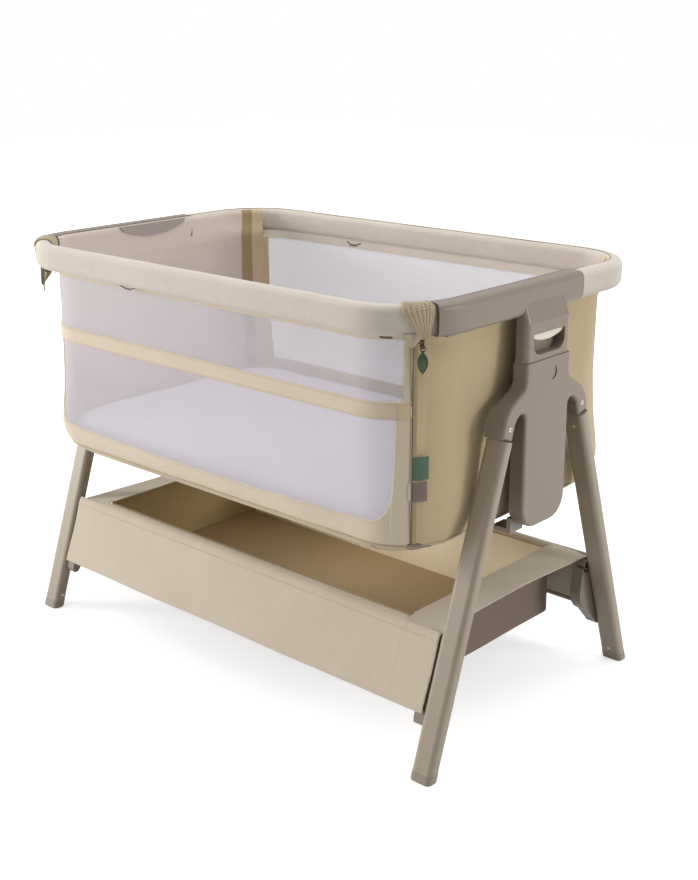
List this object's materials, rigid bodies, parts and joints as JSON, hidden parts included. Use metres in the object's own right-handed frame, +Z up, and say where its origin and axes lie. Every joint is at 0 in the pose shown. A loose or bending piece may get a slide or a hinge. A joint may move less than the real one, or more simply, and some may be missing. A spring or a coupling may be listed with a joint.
{
  "type": "bedside sleeper crib",
  "caption": "Bedside crib: a cloth and mesh tub in a padded rim hangs between two fork legs, raises in steps, lowers its front rail behind zips, over a cloth storage shelf.",
  "frame": {"origin": "on the floor under the middle of the crib", "axes": "+X along the crib to its right end, +Z up, the side that can be lowered faces -Y"},
  "size_m": [0.9568, 0.6, 0.714],
  "materials": {
    "shell_plastic": "satin",
    "leg_paint": "satin powder coat",
    "foot_plastic": "satin",
    "bracket_plastic": "matt",
    "tube_metal": "satin",
    "post_metal": "satin",
    "screw_steel": "satin",
    "rail_cloth": "matt woven",
    "tub_cloth": "matt woven",
    "band_cloth": "matt woven",
    "base_cloth": "matt woven",
    "apron_cloth": "matt woven",
    "box_cloth": "matt woven",
    "gather_cloth": "matt woven",
    "mesh_cloth": "open knit mesh",
    "mattress_cloth": "soft quilted",
    "board": "plain board",
    "release_plastic": "satin",
    "grip_plastic": "satin",
    "zip_tape": "matt woven",
    "zip_metal": "dark plated",
    "pull_rubber": "satin",
    "label_cloth": "matt woven",
    "web_cloth": "woven tape",
    "latch_plastic": "satin"
  },
  "bodies": {
    "stand": {"right_housing": "shell_plastic", "left_housing": "shell_plastic", "front_right_leg": "leg_paint", "back_right_leg": "leg_paint", "front_left_leg": "leg_paint", "back_left_leg": "leg_paint", "front_right_foot": "foot_plastic", "back_right_foot": "foot_plastic", "front_left_foot": "foot_plastic", "back_left_foot": "foot_plastic", "fork_screws": "screw_steel", "foot_screws": "screw_steel", "front_right_bracket": "bracket_plastic", "back_right_bracket": "bracket_plastic", "front_left_bracket": "bracket_plastic", "back_left_bracket": "bracket_plastic", "front_shelf_tube": "tube_metal", "back_shelf_tube": "tube_metal", "front_apron": "apron_cloth", "back_apron": "apron_cloth", "right_end_flap": "apron_cloth", "left_end_flap": "apron_cloth", "storage_box": "box_cloth", "storage_floor": "board"},
    "bassinet": {"right_end_rail": "shell_plastic", "left_end_rail": "shell_plastic", "right_inner_plate": "grip_plastic", "left_inner_plate": "grip_plastic", "right_post": "post_metal", "left_post": "post_metal", "back_rail": "rail_cloth", "right_end_panel": "tub_cloth", "left_end_panel": "tub_cloth", "back_panel": "tub_cloth", "back_mesh": "mesh_cloth", "front_panel": "band_cloth", "upper_front_mesh": "mesh_cloth", "lower_front_mesh": "mesh_cloth", "base_cover": "base_cloth", "base_board": "board", "mattress": "mattress_cloth", "right_zip_tape": "zip_tape", "left_zip_tape": "zip_tape", "side_labels": "label_cloth", "base_loop": "web_cloth", "back_loop": "web_cloth"},
    "drop_side": {"front_rail": "rail_cloth", "front_loop": "web_cloth", "right_gather": "gather_cloth", "left_gather": "gather_cloth"},
    "right_latch_button": {"right_latch": "latch_plastic"},
    "left_latch_button": {"left_latch": "latch_plastic"},
    "right_release_bar": {"right_release": "release_plastic"},
    "left_release_bar": {"left_release": "release_plastic"},
    "right_zip_runner": {"right_zip_slider": "zip_metal"},
    "left_zip_runner": {"left_zip_slider": "zip_metal"},
    "right_pull": {"right_zip_pull": "pull_rubber"},
    "left_pull": {"left_zip_pull": "pull_rubber"}
  },
  "joints": [
    {"name": "height_slide", "type": "slide", "parent": "stand", "child": "bassinet", "axis": [0, 0, 1], "range_m": [0, 0.15]},
    {"name": "drop_slide", "type": "slide", "parent": "bassinet", "child": "drop_side", "axis": [0, 0, -1], "range_m": [0, 0.16], "deforming": ["front_panel", "upper_front_mesh", "lower_front_mesh"]},
    {"name": "right_zip_slide", "type": "slide", "parent": "bassinet", "child": "right_zip_runner", "axis": [-0.0391, -0.022, -0.999], "range_m": [0, 0.241]},
    {"name": "right_pull_swing", "type": "hinge", "parent": "right_zip_runner", "child": "right_pull", "pos_m": [0.4345, -0.249, 0.6545], "axis": [-0.7772, -0.6292, 0], "range_deg": [0, 70]},
    {"name": "right_release_slide", "type": "slide", "parent": "bassinet", "child": "right_release_bar", "axis": [0, 0, 1], "range_m": [0, 0.006], "stiffness_N_per_m": 400},
    {"name": "right_latch_slide", "type": "slide", "parent": "drop_side", "child": "right_latch_button", "axis": [0, 0, 1], "range_m": [0, 0.004], "stiffness_N_per_m": 300, "springref_m": -0.001},
    {"name": "left_zip_slide", "type": "slide", "parent": "bassinet", "child": "left_zip_runner", "axis": [0.0391, -0.022, -0.999], "range_m": [0, 0.241]},
    {"name": "left_pull_swing", "type": "hinge", "parent": "left_zip_runner", "child": "left_pull", "pos_m": [-0.4345, -0.249, 0.6545], "axis": [-0.7772, 0.6292, 0], "range_deg": [0, 70]},
    {"name": "left_release_slide", "type": "slide", "parent": "bassinet", "child": "left_release_bar", "axis": [0, 0, 1], "range_m": [0, 0.006], "stiffness_N_per_m": 400},
    {"name": "left_latch_slide", "type": "slide", "parent": "drop_side", "child": "left_latch_button", "axis": [0, 0, 1], "range_m": [0, 0.004], "stiffness_N_per_m": 300, "springref_m": -0.001}
  ],
  "couplings": [
    {"joint": "right_zip_slide", "follows": "drop_slide", "ratio": 1.5},
    {"joint": "left_zip_slide", "follows": "drop_slide", "ratio": 1.5}
  ]
}
